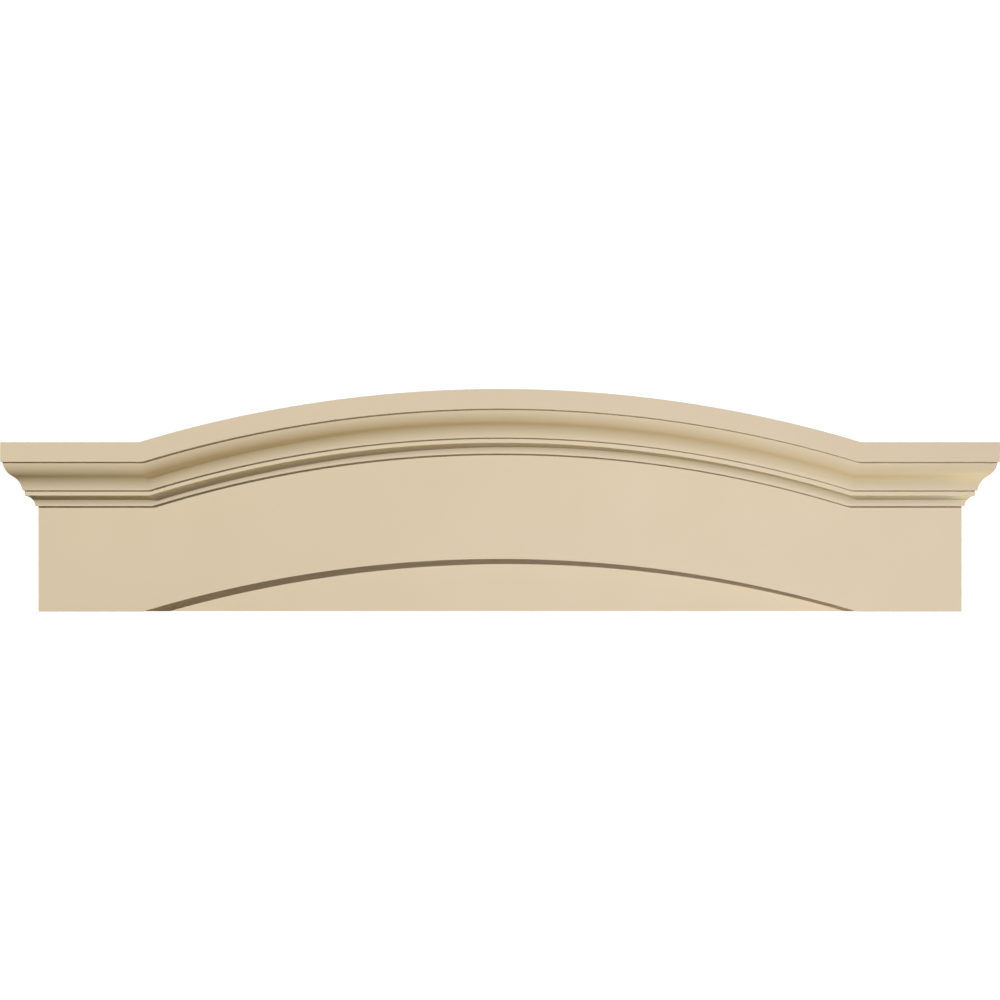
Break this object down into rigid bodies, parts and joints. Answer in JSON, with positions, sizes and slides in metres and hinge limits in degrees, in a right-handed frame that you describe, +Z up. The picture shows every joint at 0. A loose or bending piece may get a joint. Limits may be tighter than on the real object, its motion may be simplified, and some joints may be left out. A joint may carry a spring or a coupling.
{
  "type": "segmental pediment",
  "caption": "Flat overdoor board under a crown moulding that runs level at both ends and rises as a segmental arch in the middle, above a shallow arched sunk field.",
  "frame": {"origin": "middle of the flat back, half way up the whole height and on the middle of its width", "axes": "+X along the wall, to the right as seen from in front; +Y into the wall, out of the flat back; +Z up"},
  "size_m": [1.632, 0.0762, 0.3656],
  "materials": {
    "tan_primer": "matte"
  },
  "bodies": {
    "root": {"pediment": "tan_primer"}
  },
  "joints": []
}
